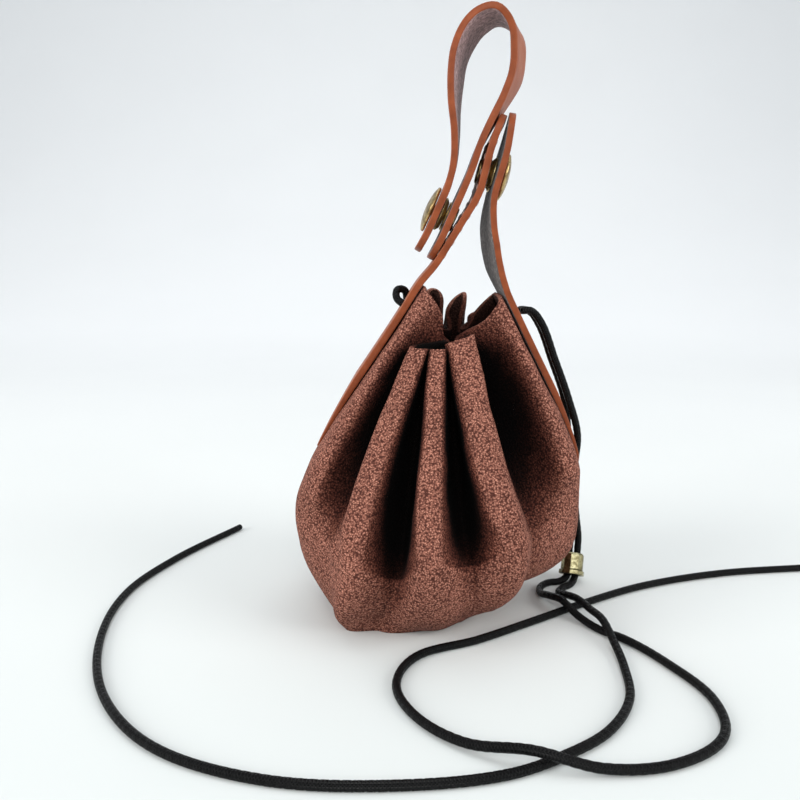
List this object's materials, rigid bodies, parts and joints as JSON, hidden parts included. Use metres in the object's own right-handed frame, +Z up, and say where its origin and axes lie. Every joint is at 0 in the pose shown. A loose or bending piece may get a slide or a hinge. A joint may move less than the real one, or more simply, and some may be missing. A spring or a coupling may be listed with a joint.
{
  "type": "drawstring dice bag with belt loop",
  "caption": "Small gathered leather dice bag with a black drawstring, side straps snapped together and a tan belt loop.",
  "frame": {"origin": "middle of the flat base, on the surface that the bag stands on", "axes": "+Z up from the base to the belt loop, +X to the right seen from the front, +Y to the back"},
  "size_m": [0.2564, 0.1807, 0.1938],
  "materials": {
    "suede": "matt, pebbled nap",
    "tan_leather": "smooth, satin",
    "antique_brass": "antique, satin",
    "waxed_cord": "waxed braid"
  },
  "bodies": {
    "root": {"bag_body": "suede", "strap_left": "tan_leather", "strap_right": "tan_leather", "belt_loop": "tan_leather", "belt_snap_cap": "antique_brass", "belt_snap_socket": "antique_brass", "belt_snap_stud": "antique_brass", "closure_snap_cap": "antique_brass", "closure_snap_socket": "antique_brass", "closure_snap_stud": "antique_brass", "drawstring_gather": "waxed_cord", "drawstring_end_a": "waxed_cord", "drawstring_end_b": "waxed_cord", "cord_stop": "antique_brass"}
  },
  "joints": []
}
